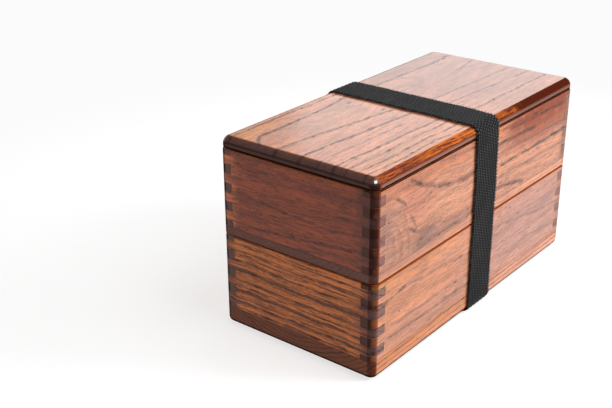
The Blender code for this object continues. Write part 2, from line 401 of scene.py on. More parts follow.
OVAL_PLACE = {
    "Along": 0.0,
    "Across": 0.0,
    "Breaks": 0.5,
    "Centre Along": 10.0,
    "Centre Across": 10.0,
    "Reach Along": 10.0,
    "Reach Across": 10.0,
}


def make_knot():
    graph, given, made = new_group(
        "knot", {**OVAL_PLACE, "Rings": 4.0, "Heart": 1.0, "Strength": 0.6}, ("Mask",)
    )
    away = oval(graph, given, 0.18)
    rise = graph.maths("FRACT", graph.times(away, given["Rings"]))
    line = graph.times(graph.between(rise, 0.05, 0.70), graph.between(rise, 1.0, 0.75))
    near = graph.times(graph.between(away, 0.10, 0.50), graph.between(away, 1.0, 0.80))
    whole = graph.between(given["Breaks"], 0.35, 0.60)
    near = graph.times(near, graph.add(0.6, graph.times(whole, 0.4)))
    heart = graph.times(graph.between(away, 0.30, 0.12), given["Heart"])
    graph.feed(made["Mask"], graph.most(graph.times(line, near, given["Strength"]), heart))
    return graph.tree


def make_soft_spot():
    graph, given, made = new_group("soft_spot", {**OVAL_PLACE, "Strength": 1.0}, ("Mask",))
    away = oval(graph, given, 0.9)
    graph.feed(made["Mask"], graph.times(graph.between(away, 1.25, 0.35), given["Strength"]))
    return graph.tree


strong_line = make_strong_line()
knot = make_knot()
soft_spot = make_soft_spot()
print("strong line, knot and soft spot:", len(bpy.data.node_groups), "groups so far")

# %% [markdown]
# ## Fibres and pores
#
# Between the rings the wood is a bundle of fibres, which show as soft streaks many times longer than
# they are wide. Large vessels that the saw opened show as short dark dashes along the grain and as
# dots on end grain. They crowd along the ring lines, which is what breaks a line into dashes. All of
# it is noise drawn out along the board, and the group gives the wood's colour, the pores' mask and
# the height for a bump.

# %% Group for the wood's colour
PORES_FROM = 0.71


def make_wood_figure():
    graph, given, made = new_group(
        "wood_figure",
        {
            "Board": "vector",
            "Lines": 0.0,
            "Light": (0.62, 0.25, 0.12),
            "Body": (0.48, 0.17, 0.08),
            "Streak": (0.24, 0.09, 0.06),
            "Pore": (0.06, 0.03, 0.025),
            "Fibre Depth": 0.5,
        },
        ("Color", "Pores", "Height"),
    )
    broad = graph.noise(given["Board"], 60.0, 6.0, 4.0, 0.62)
    medium = graph.noise(given["Board"], 16.0, 1.2, 3.0, 0.65)
    fine = graph.noise(given["Board"], 6.5, 0.50, 2.0, 0.6)
    fleck = graph.noise(given["Board"], 1.1, 0.8, 1.0)
    vessel = graph.noise(given["Board"], 3.6, 0.62, 1.0)

    colour = graph.mix(graph.between(broad, 0.40, 0.62), given["Light"], given["Body"])
    dark_fibre = graph.times(graph.between(medium, 0.46, 0.70), given["Fibre Depth"])
    colour = graph.mix(graph.times(dark_fibre, 0.80), colour, given["Streak"])
    dark_fibre = graph.times(graph.between(fine, 0.46, 0.64), given["Fibre Depth"])
    colour = graph.mix(graph.times(dark_fibre, 0.75), colour, given["Streak"])
    pale = graph.times(graph.between(fleck, 0.50, 0.68), given["Fibre Depth"])
    colour = graph.mix(graph.times(pale, 0.55), colour, given["Light"])

    limit = graph.less(PORES_FROM, graph.times(graph.between(given["Lines"], 0.1, 0.8), 0.20))
    pores = graph.between(vessel, limit, graph.add(limit, 0.06))
    shade = graph.most(graph.times(pores, 0.80), graph.times(given["Lines"], 0.76))
    colour = graph.mix(shade, colour, given["Pore"])
    graph.feed(made["Color"], colour)
    graph.feed(made["Pores"], pores)
    height = graph.less(graph.times(fine, 0.4), graph.times(pores, 0.7))
    graph.feed(made["Height"], graph.less(height, graph.times(given["Lines"], 0.35)))
    return graph.tree


wood_figure = make_wood_figure()
print("wood figure:", len(wood_figure.nodes), "nodes")

# %% [markdown]
# ## Cut across the grain, and sanded edges
#
# End grain drinks the lacquer. It turns dark and stays dull, which is why the finger tips at the
# corners stand out as small dark squares. The group compares the surface's direction with the
# board's own grain, so it works for a finger tip, a board's end or a rounded edge alike. It also
# tells where the surface is flat, where an eased rim looks up or down, and where an upright corner
# is rounded. A rim that looks up is painted orange with light, a rim that looks down is painted dark
# with shade, and the rounded corners are painted dark with shade, with painted red light where they
# turn to the long side. Where the lid's edge turns its four corners, it can take a thicker lacquer.

# %% Group for end grain and edges
def make_board_edges():
    graph, given, made = new_group(
        "board_edges",
        {"Facing": "vector", "Grain": "vector", "End From": 0.10},
        ("End", "Flat", "Rim", "Underside", "Corner", "Glow", "Upright", "Turn"),
    )
    lengthwise = graph.vector_maths("DOT_PRODUCT", given["Facing"], given["Grain"])
    end_to = graph.add(given["End From"], 0.24)
    end = graph.between(graph.maths("ABSOLUTE", lengthwise), given["End From"], end_to)
    directions = graph.parts(given["Facing"])
    height = directions[2]
    sides = [graph.maths("ABSOLUTE", part) for part in directions]
    flat = graph.between(graph.most(*sides), 0.98, 0.999)
    edge = graph.less(1.0, flat)
    upright = graph.between(sides[2], 0.40, 0.12)
    looks_up = graph.between(height, 0.12, 0.40)
    graph.feed(made["End"], end)
    graph.feed(made["Flat"], flat)
    graph.feed(made["Rim"], graph.times(edge, looks_up, graph.less(1.0, end)))
    graph.feed(made["Underside"], graph.times(edge, graph.between(height, -0.08, -0.30)))
    graph.feed(made["Corner"], graph.times(edge, upright))
    graph.feed(made["Glow"], graph.times(edge, upright, graph.between(sides[0], 0.90, 0.97)))
    graph.feed(made["Upright"], upright)
    least = graph.maths("MINIMUM", sides[0], sides[1])
    tilted = graph.between(height, 0.20, 0.45)
    graph.feed(made["Turn"], graph.times(graph.between(least, 0.20, 0.40), tilted))
    return graph.tree


board_edges = make_board_edges()
print("board edges:", len(board_edges.nodes), "nodes")

# %% [markdown]
# ## One board's wood
#
# Every board came from another part of the tree, so each gets a material of its own: the same groups
# with its own rings, its own strong lines and its own tone. A board is measured in millimetres as a
# joiner would: along from the box's front or left, and across from the lid's left edge or down from
# the lid's top.
#
# A board's look can draw its fibres out, dull the lacquer in a spot, and darken joints, each given by
# how far down it starts and ends. Where a joint lies under the lid or between the tiers, that
# darkening is painted shade. A joint with a tone of its own is painted dark orange with shade on the
# long grain and stays near black on the finger tips.
#
# The lacquer is the coat layer of the wood's shader, because a clear glossy layer over a dull one is
# what lacquered wood is. It could be mixed in as a shader of its own, but the coat does the same with
# one input: only its weight changes over a board.

# %% Measuring on a board
HALF_LENGTH = 1000.0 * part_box("lid")[1][1]
HALF_WIDTH = 1000.0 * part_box("lid")[1][0]
LID_TOP = 1000.0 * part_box("lid")[1][2]
LENGTHWISE = (0.0, 1.0, 0.0)
CROSSWISE = (1.0, 0.0, 0.0)


def board_axes(graph, kind):
    """Millimetres along, across and through a flat, side or end board, and its grain's direction."""
    x, y, z = graph.parts(graph.millimetres())
    from_front = graph.add(y, HALF_LENGTH)
    from_left = graph.add(x, HALF_WIDTH)
    down = graph.less(LID_TOP, z)
    if kind == "flat":
        return graph.vector(from_front, from_left, down), LENGTHWISE
    if kind == "side":
        return graph.vector(from_front, down, x), LENGTHWISE
    return graph.vector(from_left, down, y), CROSSWISE


print("half length and width:", round(HALF_LENGTH, 2), round(HALF_WIDTH, 2))

# %% Tones that the boards share
# Painted light and shade: the rim tone is painted light on rims that look up, the seam tone is painted
# shade in the gap between the tiers, the corner tone is painted shade on the rounded corners, and the
# corner glow is painted light where those corners turn to the long side.
RIM_LIGHT = (0.52, 0.145, 0.035)
SEAM_SHADE = (0.36, 0.070, 0.0075)
CORNER_SHADE = (0.045, 0.014, 0.010)
CORNER_GLOW_LIGHT = (0.28, 0.048, 0.016)
PORE = (0.05, 0.026, 0.022)
BODY_SHARE = 0.72


def darker(tone):
    """The same tone of wood, a little deeper."""
    return tuple(BODY_SHARE * part for part in tone)


print("the body of a board has", BODY_SHARE, "of its light tone")

# %% Tones of the lid's edges
# These are millimetres from the front. RAGGED is the span within which noise moves a border.
RED_UP_TO = 26.0
RED_GONE = 66.0
DARK_FROM = 100.0
DARK_TO = 136.0
RAGGED = 40.0


def lid_edge_tones(graph, along, breaks, wavy, look):
    """The tones of the lid's long edges: their upright part, and their rim, which is partly painted
    light.
    """
    place_along = graph.add(along, graph.times(graph.less(breaks, 0.5), RAGGED))
    dark = graph.between(place_along, DARK_FROM, DARK_TO)
    wall = graph.mix(graph.times(dark, 0.75), look["wall"], look["dark_rim"])
    worn = graph.between(graph.noise(wavy, 16.0, 0.9, 3.0, 0.6), 0.42, 0.64)
    near_corner = graph.between(place_along, RED_GONE, RED_UP_TO)
    thin_streaks = graph.between(graph.noise(wavy, 34.0, 0.45, 2.0, 0.6), 0.40, 0.56)
    near_red = graph.add(0.40, graph.times(thin_streaks, 0.60))
    red = graph.most(worn, graph.times(near_corner, near_red))
    rim = graph.mix(red, look["rim"], look["red_rim"])
    return wall, graph.mix(dark, rim, look["dark_rim"])


print("the lid's edge darkens over", DARK_TO - DARK_FROM, "mm")

# %% Dark joints and painted shade
# The joint tone darkens joint lines, and is painted shade under the lid, between the tiers and on
# rims that look down. The blur is in millimetres.
JOINT_AND_SHADE_TONE = (0.030, 0.005, 0.0025)
JOINT_BLUR = 0.25


def draw_joints(graph, colour, down, end, joints):
    """The board's colour with dark joints and painted shade in the gaps drawn in, and a mask of where
    they are.
    """
    joint = 0.0
    for first, last, share, *glow in joints:
        inside = graph.times(
            graph.between(down, first, first + JOINT_BLUR),
            graph.between(down, last, last - JOINT_BLUR),
            share,
        )
        joint = graph.most(joint, inside)
        # A joint given a tone of its own is painted with it as shade on the long grain.
        tone = graph.mix(end, glow[0], JOINT_AND_SHADE_TONE) if glow else JOINT_AND_SHADE_TONE
        colour = graph.mix(inside, colour, tone)
    return colour, joint


print("a joint's edge is blurred over", JOINT_BLUR, "mm")

# %% Clear lacquer
ROUGHNESS = 0.45
COAT_ROUGHNESS = 0.15
COAT_IOR = 1.5
EDGE_LACQUER = 0.04


def lacquer(graph, shader, edges, pores, bare_places, look):
    """A clear coat on the flat faces. It has sunk into end grain, pores and the bare places."""
    dull = graph.add(graph.times(edges["End"], 0.15), graph.times(pores, 0.2))
    graph.feed(shader.inputs["Roughness"], graph.add(ROUGHNESS, dull))
    shader.inputs["Specular IOR Level"].default_value = 0.0
    sunk_in = (graph.times(edges["End"], 0.75), graph.times(pores, 0.6))
    open_grain = graph.most(*sunk_in, *bare_places)
    coat = graph.times(edges["Flat"], graph.less(1.0, open_grain), look.get("lacquer", 1.0))
    thin_coat = graph.times(graph.less(1.0, edges["Flat"]), EDGE_LACQUER)
    turn_coat = graph.times(edges["Turn"], look.get("turn_lacquer", 0.0))
    graph.feed(shader.inputs["Coat Weight"], graph.most(graph.add(coat, thin_coat), turn_coat))
    shader.inputs["Coat Roughness"].default_value = COAT_ROUGHNESS
    shader.inputs["Coat IOR"].default_value = COAT_IOR


print("lacquer on a rounded edge:", EDGE_LACQUER, "of a full coat")

# %% Wood material
# The bump is in metres and the rest in millimetres. A line strays slowly within a band WOBBLE wide,
# and in fine teeth within one COMB wide. A board's two corners differ in how much painted shade they
# get, and one value goes over into the other between SHADED_CORNERS_FROM and SHADED_CORNERS_TO.
GRAIN_BUMP = 0.00010
WOBBLE = 4.0
COMB = 1.6
SHADED_CORNERS_FROM = 20.0
SHADED_CORNERS_TO = 75.0


def make_wood(name, kind, log, place=(0.0, 0.0, 0.0), lines=(), knots=(), spots=(), **look):
    """One board's material. log describes its growth rings, and place is where in the log it lay."""
    material, graph, shader = new_material(name)
    board, grain = board_axes(graph, kind)
    own = graph.vector_maths("ADD", board, place)
    wobble = graph.times(graph.less(graph.noise(own, 26.0, 60.0, 3.0), 0.5), WOBBLE)
    comb = graph.times(graph.less(graph.noise(own, 6.0, 0.8, 1.0), 0.5), COMB)
    breaks = graph.noise(own, 7.0, 9.0, 2.0)
    along, level, depth = graph.parts(board)
    down = depth if kind == "flat" else level
    bent = graph.add(level, wobble)
    across = graph.add(bent, comb)

    def place_on_board(tree, values, over=across):
        return graph.group(tree, Along=along, Across=over, Breaks=breaks, **values)["Mask"]

    ring = graph.group(growth_rings, Board=own, **log)
    marks = [graph.times(ring["Line"], look.get("rings", 0.5))]
    marks += [place_on_board(strong_line, values) for values in lines]
    marks += [place_on_board(knot, values, bent) for values in knots]
    marks += [place_on_board(soft_spot, values) for values in look.get("crowds", ())]
    mark = graph.most(*marks)

    light, body = look["light"], darker(look["light"])
    for values, tone in spots:
        mask = place_on_board(soft_spot, values)
        light = graph.mix(mask, light, tone)
        body = graph.mix(mask, body, darker(tone))

    facing = graph.node("ShaderNodeTexCoord").outputs["Normal"]
    end_from = look.get("end_from", 0.10)
    edges = graph.group(board_edges, Facing=facing, Grain=grain, End_From=end_from)
    drawn_out = graph.maths("DIVIDE", along, look.get("stretch", 1.0))
    wavy = graph.vector_maths("ADD", graph.vector(drawn_out, across, depth), place)
    figure = graph.group(
        wood_figure,
        Board=wavy,
        Lines=mark,
        Light=light,
        Body=body,
        Streak=look["streak"],
        Pore=PORE,
        Fibre_Depth=look.get("fibres", 0.8),
    )
    colour = figure["Color"]
    rim = look.get("rim", RIM_LIGHT)
    if "wall" in look:
        wall, rim = lid_edge_tones(graph, along, breaks, wavy, look)
        colour = graph.mix(graph.times(edges["Upright"], 0.9), colour, wall)
    dark_end = graph.mix(figure["Pores"], look["end"], PORE)
    dark_end = graph.mix(graph.times(mark, look.get("end_rings", 0.5)), dark_end, PORE)
    colour = graph.mix(graph.times(edges["End"], 0.92), colour, dark_end)
    rim = graph.mix(graph.times(mark, 0.6), rim, PORE)
    # Painted light: rims that look up take the orange rim tone.
    colour = graph.mix(graph.times(edges["Rim"], look.get("rim_share", 0.9)), colour, rim)
    colour, joint = draw_joints(graph, colour, down, edges["End"], look.get("joints", ()))
    # Painted shade on rims that look down.
    colour = graph.mix(edges["Underside"], colour, JOINT_AND_SHADE_TONE)
    # Painted shade on the rounded upright corners, with painted light where they turn to the long
    # side.
    corner = graph.mix(edges["Glow"], look.get("corner", CORNER_SHADE), CORNER_GLOW_LIGHT)
    first, last = look.get("corners", (0.9, 0.9))
    further = graph.between(along, SHADED_CORNERS_FROM, SHADED_CORNERS_TO)
    corner_shade_share = graph.add(first, graph.times(further, last - first))
    patchy = graph.add(0.82, graph.times(graph.between(breaks, 0.35, 0.60), 0.18))
    colour = graph.mix(graph.times(edges["Corner"], corner_shade_share, patchy), colour, corner)
    graph.feed(shader.inputs["Base Color"], colour)

    dull_spots = [place_on_board(soft_spot, values) for values in look.get("dull", ())]
    lacquer(graph, shader, edges, figure["Pores"], [joint, *dull_spots], look)
    bump = graph.node(
        "ShaderNodeBump", {"Height": figure["Height"], "Strength": 0.4, "Distance": GRAIN_BUMP}
    )
    graph.feed(shader.inputs["Normal"], bump.outputs[0])
    return material


print("lines stray by up to", WOBBLE / 2 + COMB / 2, "mm")

# %% Marks on a board, and putting its wood on
def dress(node, material):
    """Gives a packed board its material."""
    for slot in boards[node].material_slots:
        slot.material = material
    print(node, "gets", material.name)


def line(start, end, bow=0.0, near=0.0, far=192.0, width=1.0, strength=0.9):
    """A strong line's place and weight, in the words of its group."""
    return {
        "From": near, "To": far, "Start": start, "End": end,
        "Bow": bow, "Width": width, "Strength": strength,
    }


def oval_at(along, across, reach_along, reach_across, **more):
    """An oval's middle and half lengths, with whatever else its group takes."""
    return {
        "Centre_Along": along, "Centre_Across": across,
        "Reach_Along": reach_along, "Reach_Across": reach_across, **more,
    }


def spot(along, across, reach_along, reach_across, tone, strength=1.0):
    """A soft spot's place, and the tone that the wood has there."""
    return oval_at(along, across, reach_along, reach_across, Strength=strength), tone


print("slots to fill:", sum(len(board.material_slots) for board in boards.values()))

# %% [markdown]
# ### The lid
#
# The lid's board was cut beside the heart of the log, so widely spaced lines run along it, one of
# them hooked, with two pin knots near the middle. Its long rounded edges are orange next to the band,
# partly as painted light, and dark red towards the ends.

# %% Lid wood
lid_wood = make_wood(
    "lid_board_wood",
    "flat",
    {
        "Pith_Across": 28.0, "Pith_Depth": 40.0, "Lean": 0.10,
        "Ring_Width": 3.4, "Wander": 5.0, "Sharpness": 0.8,
    },
    lines=(
        line(5.5, 6.5, 0.5, -4, 96, 1.7, 0.75),
        line(25, 16.6, -1.5, 2, 12, 2.2, 0.85),
        line(16.6, 13, 2.2, 10, 88, 1.9, 0.85),
        line(13.5, 14.5, 1.6, 106, 195, 1.8, 0.95),
        line(34.5, 46.5, -1, -4, 86, 2, 0.85),
        line(50, 57, -0.5, -4, 88, 1.8, 1),
        line(53, 57, 0, 104, 195, 1.5, 0.55),
        line(61, 62.5, 0, -4, 70, 1.5, 0.65),
        line(62, 68.5, 0.5, 104, 195, 1.4, 0.60),
        line(70, 73, 0, -4, 90, 1.6, 0.90),
        line(77, 79.5, 0, -4, 195, 1.4, 0.80),
        line(83, 84, 0, 4, 90, 1.4, 0.80),
        line(88, 89, 0, -4, 90, 1.2, 0.85),
        line(35, 29, 1.5, 163, 195, 1.3, 0.65),
        line(35.5, 43, -1.5, 163, 195, 1.3, 0.45),
    ),
    knots=(
        oval_at(79.5, 20.5, 9, 4.6, Rings=2, Strength=0.35),
        oval_at(81.5, 41.5, 9, 4.6, Rings=2, Strength=0.35),
        oval_at(118, 32, 13, 8.5, Rings=3, Heart=0, Strength=0.5),
    ),
    spots=(
        spot(12, 6, 36, 13, (0.90, 0.31, 0.07)),
        spot(20, 88, 70, 12, (0.92, 0.31, 0.09), 0.8),
        spot(70, 12, 22, 9, (0.82, 0.28, 0.12), 0.5),
        spot(40, 24, 34, 12, (0.62, 0.27, 0.155), 0.8),
        spot(165, 45, 75, 60, (0.57, 0.235, 0.155)),
        spot(150, 6, 60, 12, (0.42, 0.16, 0.09), 0.8),
    ),
    light=(0.85, 0.31, 0.150),
    streak=(0.27, 0.11, 0.08),
    rings=0.35,
    end=(0.088, 0.050, 0.048),
    wall=(0.25, 0.085, 0.052),
    rim=(0.72, 0.185, 0.028),
    red_rim=(0.15, 0.030, 0.022),
    dark_rim=(0.082, 0.011, 0.003),
    rim_share=1.0,
    # The first band is a dark line on the rounded edge; the second is painted shade over the gap above
    # the upper tier.
    joints=((2.4, 3.1, 0.6), (4.75, 6.5, 1.0)),
    turn_lacquer=1.0,
)
dress("lid", lid_wood)

# %% [markdown]
# ### The long sides
#
# The upper tier's right side was cut across the foot of a branch: ovals fill its front end and a dark
# dotted patch trails away from them. The lower tier's is calmer, with two long lines. The left sides
# aren't in the photograph and come from elsewhere in the same log.

# %% Side wood
SIDE_LOOK = {
    "light": (0.87, 0.33, 0.162),
    "streak": (0.27, 0.10, 0.068),
    "fibres": 0.75,
    "stretch": 1.3,
    "end_from": 0.72,
    # The corner tone and the corner shares paint shade on the rounded corners.
    "corner": (0.045, 0.012, 0.009),
    "corners": (0.95, 0.6),
}
NEAR_END = (0.078, 0.036, 0.031)
LEFT_END = (0.16, 0.10, 0.088)
SIDE_RINGS = {
    "Pith_Across": 78.0, "Pith_Depth": 20.0, "Lean": 0.12,
    "Ring_Width": 4.2, "Wander": 9.0, "Sharpness": 1.2,
}
PALE_WOOD = (0.92, 0.37, 0.18)
DARK_WOOD = (0.45, 0.075, 0.016)
GREY_WOOD = (0.33, 0.17, 0.14)

upper_right_wood = make_wood(
    "upper_right_side_wood",
    "side",
    SIDE_RINGS,
    lines=(
        line(8, 19, 0.8, 27, 49, 2.4, 0.70),
        line(19, 24.5, 1.9, 47, 92, 2.4, 0.75),
        line(31.5, 38.5, 0.5, 26, 38, 2, 0.55),
        line(38.5, 41, 0, 36, 58, 1.8, 0.55),
        line(44, 45.5, 0, 34, 54, 2, 0.6),
        line(42, 43, 0, 46, 90, 1.8, 0.55),
        line(46.5, 46.5, 0, 34, 90, 1.8, 0.65),
        line(9, 9.5, 0, 112, 160, 1.6, 0.55),
        line(16, 17, 0, 108, 152, 2, 0.75),
        line(10.5, 12.5, 0, 120, 192, 2, 0.7),
        line(29, 28.5, 0, 112, 192, 1.8, 0.95),
        line(41, 46.5, -1, 108, 142, 2.2, 0.75),
        line(35, 37, 0, 112, 192, 1.4, 0.45),
        line(22, 23, 0, 108, 192, 1.4, 0.45),
        line(12.8, 20, -1.8, 8, 25, 2, 0.80),
        line(26.5, 35.5, -1.2, 28, 34.5, 2.6, 0.5),
        line(7.5, 10.5, 0.4, 52, 92, 1.6, 0.50),
    ),
    knots=(
        oval_at(0, 40, 36, 30, Rings=6, Heart=0, Strength=0.40),
    ),
    crowds=(
        oval_at(40, 43, 12, 7, Strength=0.46),
        oval_at(68, 45, 34, 4.5, Strength=0.27),
        oval_at(150, 10, 55, 5, Strength=0.12),
    ),
    spots=(
        spot(14, 30, 14, 16, (0.74, 0.33, 0.20), 0.7),
        spot(66, 32, 26, 9, PALE_WOOD),
        spot(100, 50, 130, 2.6, PALE_WOOD, 0.8),
        spot(41, 43, 13, 7, GREY_WOOD, 0.45),
        spot(68, 45.5, 32, 3.5, GREY_WOOD, 0.25),
        spot(36, 12, 12, 5, GREY_WOOD, 0.3),
        spot(20, 47.5, 24, 7, GREY_WOOD, 0.35),
        spot(7, 26, 11, 10, GREY_WOOD, 0.4),
        spot(34, 21, 16, 10, (0.76, 0.255, 0.14), 0.8),
        spot(21, 33, 9, 12, (0.96, 0.36, 0.17), 0.6),
        # Painted highlight: an orange glint just under the lid at the near end.
        spot(5.5, 7.4, 7, 1.6, (0.95, 0.30, 0.06)),
        spot(45, 9, 60, 7, (0.84, 0.25, 0.075), 0.8),
        spot(172, 10, 74, 9, DARK_WOOD),
        spot(162, 20, 52, 9, DARK_WOOD, 0.7),
        spot(112, 9, 9, 6, (0.95, 0.31, 0.10)),
        spot(190, 28, 7, 60, (0.42, 0.13, 0.055), 0.9),
    ),
    dull=(
        oval_at(165, 9, 76, 8, Strength=0.55),
        oval_at(162, 17, 52, 7, Strength=0.45),
    ),
    rings=0.25,
    end=NEAR_END,
    # Painted shade in the gap under the lid.
    joints=((6.2, 6.8, 0.95),),
    **SIDE_LOOK,
)
dress("upper_right_side", upper_right_wood)

lower_right_wood = make_wood(
    "lower_right_side_wood",
    "side",
    SIDE_RINGS,
    place=(900.0, 20.0, 10.0),
    lines=(
        line(65, 63, 0.5, -4, 28, 1.8, 0.75),
        line(63, 70, 0, 26, 94, 1.8, 0.55),
        line(79, 82, 0, -4, 90, 1.6, 0.5),
        line(86, 88, 0, 10, 92, 1.8, 0.6),
        line(64, 75.5, 0, 106, 195, 1.6, 0.4),
        line(82, 90, 0, 146, 195, 1.6, 0.4),
    ),
    spots=(
        spot(30, 72, 60, 10, (0.95, 0.34, 0.14), 0.8),
        spot(50, 87, 60, 7, GREY_WOOD, 0.25),
        spot(20, 57, 70, 4, (0.92, 0.32, 0.09), 0.8),
        # Painted light: an orange glow just under the seam at the near end.
        spot(6, 54.8, 8, 2.6, (1.0, 0.40, 0.07)),
        spot(150, 75, 60, 30, (0.66, 0.30, 0.215)),
        spot(191, 75, 5, 60, (0.52, 0.21, 0.13), 0.9),
    ),
    rings=0.25,
    end=NEAR_END,
    # Painted shade in the seam between the tiers, dark orange on the long grain.
    joints=((52.9, 53.95, 1.0, SEAM_SHADE),),
    **{**SIDE_LOOK, "fibres": 0.6, "corners": (0.66, 0.6)},
)
dress("lower_right_side", lower_right_wood)

for node, place in (
    ("upper_left_side", (430.0, 60.0, 35.0)),
    ("lower_left_side", (1400.0, 90.0, 70.0)),
):
    dress(
        node,
        make_wood(node + "_wood", "side", SIDE_RINGS, place, rings=0.8, end=LEFT_END, **SIDE_LOOK),
    )

# %% [markdown]
# ### The ends and the bottoms
#
# The ends are redder. The upper one is almost plain, and the lower one was cut straight across the
# rings, so it is striped from top to bottom. The bottom boards show end grain under the front end
# and a lengthwise strip under the sides.

# %% End and bottom wood
upper_front_wood = make_wood(
    "upper_front_end_wood",
    "end",
    {
        "Pith_Across": 70.0, "Pith_Depth": -130.0, "Lean": 0.15,
        "Ring_Width": 5.0, "Wander": 7.0, "Sharpness": 1.0,
    },
    lines=(
        line(27.5, 31, 0.5, 10, 62, 1.4, 0.6),
        line(47.5, 39.5, -2, 8, 84, 1.6, 0.65),
        line(22.5, 24.5, 0.5, 55, 100, 1.2, 0.5),
        line(12, 13.5, 0, -2, 100, 1.6, 0.4),
    ),
    spots=(
        spot(27, 36, 24, 9, (0.50, 0.105, 0.036)),
        spot(45, 9, 60, 2.5, (0.47, 0.095, 0.026), 0.8),
        spot(0, 28, 11, 60, (0.97, 0.275, 0.11)),
        # Painted shade: the right end darkens towards the near corner.
        spot(94, 28, 10, 60, (0.24, 0.048, 0.028)),
    ),
    rings=0.5,
    light=(0.52, 0.105, 0.040),
    streak=(0.070, 0.020, 0.015),
    end=(0.36, 0.180, 0.160),
    corners=(0.25, 0.9),
    lacquer=0.6,
)
dress("upper_front_end", upper_front_wood)

STRIPES = {
    "Pith_Across": -190.0, "Pith_Depth": 10.0, "Lean": 0.0,
    "Ring_Width": 3.1, "Wander": 3.0, "Sharpness": 1.3,
}
STRIPED_LOOK = {
    "light": (0.98, 0.27, 0.055),
    "streak": (0.17, 0.040, 0.022),
    "end": (0.32, 0.190, 0.165),
    "rings": 1.0,
    "fibres": 0.95,
    "stretch": 2.2,
    "end_rings": 0.25,
    "corners": (0.25, 0.58),
    "lacquer": 0.6,
}
STRIPE_LINES = (
    line(60, 61.5, 0.3, -2, 100, 1.3, 0.75),
    line(66, 66.5, 0.3, -2, 100, 1.5, 0.95),
    line(71, 71.5, 0.4, -2, 100, 1.8, 0.95),
    line(77, 76.5, 0.4, -2, 100, 1.5, 0.85),
    line(82.5, 83, 0.3, -2, 100, 1.7, 0.85),
    line(89, 89.5, 0.2, -2, 100, 1.5, 0.85),
    line(93, 93.5, 0, -2, 100, 1.3, 0.8),
)
STRIPE_SPOTS = (
    # Painted shade: the right end darkens towards the near corner.
    spot(95, 78, 9, 60, (0.42, 0.078, 0.034)),
    spot(0, 78, 10, 60, (0.42, 0.12, 0.055), 0.6),
)
lower_front_wood = make_wood(
    "lower_front_end_wood", "end", STRIPES, lines=STRIPE_LINES, spots=STRIPE_SPOTS, **STRIPED_LOOK
)
dress("lower_front_end", lower_front_wood)
for node, place in (
    ("upper_back_end", (700.0, 30.0, 50.0)),
    ("lower_back_end", (1500.0, 50.0, 80.0)),
):
    dress(node, make_wood(node + "_wood", "end", STRIPES, place, **STRIPED_LOOK))

BOTTOM_RINGS = {
    "Pith_Across": 44.0, "Pith_Depth": 30.0, "Lean": 0.0,
    "Ring_Width": 2.4, "Wander": 4.0, "Sharpness": 0.9,
}
BOTTOM_LOOK = {
    "light": (0.97, 0.345, 0.145),
    "streak": (0.36, 0.12, 0.06),
    "fibres": 0.38,
    "corners": (0.45, 0.45),
    "end_rings": 1.0,
}
for node, place, end, rings, joints, spots in (
    (
        "upper_bottom_board",
        (200.0, 0.0, 10.0),
        (0.19, 0.085, 0.070),
        0.4,
        # A dark joint line, then painted shade in the seam between the tiers.
        ((47.9, 48.5, 0.35), (52.4, 53.2, 0.95, SEAM_SHADE)),
        (
            spot(100, 95, 140, 40, (0.98, 0.385, 0.195)),
            spot(16, 95, 50, 40, (0.72, 0.27, 0.155), 0.6),
        ),
    ),
    (
        "lower_bottom_board",
        (600.0, 0.0, -12.0),
        (0.235, 0.075, 0.043),
        1.0,
        ((94.2, 94.9, 0.5), (96.8, 97.4, 0.3)),
        (
            spot(30, 95, 80, 40, (0.97, 0.30, 0.075)),
            spot(155, 95, 60, 40, (0.97, 0.37, 0.20)),
        ),
    ),
):
    bottom_wood = make_wood(
        node + "_wood", "flat", BOTTOM_RINGS, place,
        end=end, rings=rings, joints=joints, spots=spots, **BOTTOM_LOOK,
    )
    dress(node, bottom_wood)

# %% [markdown]
# ## The woven band
#
# The band is flat elastic, woven in narrow lengthwise columns of stitches, with a row of small teeth
# along each edge where the weft turns back. Its ends overlap low on the left side, where two rows
# of stitches hold them. A plain strip with a bump map would have straight edges and no depth where
# it turns over the lid, so the weave is real relief: the strip is a fine grid that follows the
# box's outline, and every point is raised by how high the thread stands there.

# %% The band's measures
STRIP_LOW, STRIP_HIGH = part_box("elastic_band")
BAND_WIDTH = STRIP_HIGH[1] - STRIP_LOW[1]
BAND_CENTRE = (STRIP_HIGH[1] + STRIP_LOW[1]) / 2
BOX_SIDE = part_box("lid")[1][0]
BAND_GAP = 0.0003
BAND_THICKNESS = STRIP_HIGH[0] - BOX_SIDE - BAND_GAP
LID_ROUNDING = 0.0041
FOOT_ROUNDING = 0.0030
OVERLAP_LOW = 0.024
OVERLAP_HIGH = 0.036
LIFT_RUN = 0.003
ARC_STEPS = 16
STITCH = 0.0015
COLUMNS = 12
PER_STITCH = 4
PER_COLUMN = 4
RELIEF = 0.00040
TOOTH = 0.0013
TOOTH_PITCH = 0.0019
TOOTH_LEVEL = 0.6
SEAM_HEIGHTS = (0.0268, 0.0332)
SEAM_STITCHES = 8
SEAM_PITCH = 0.0024
SEAM_THREAD = (0.00022, 0.00095, 0.00028)
DRIFTS = (
    (0.00, 0.0004),
    (0.14, -0.0001),
    (0.36, -0.0002),
    (0.48, 0.0001),
    (0.57, -0.0009),
    (0.63, 0.0003),
    (0.80, 0.0010),
    (1.00, 0.0004),
)


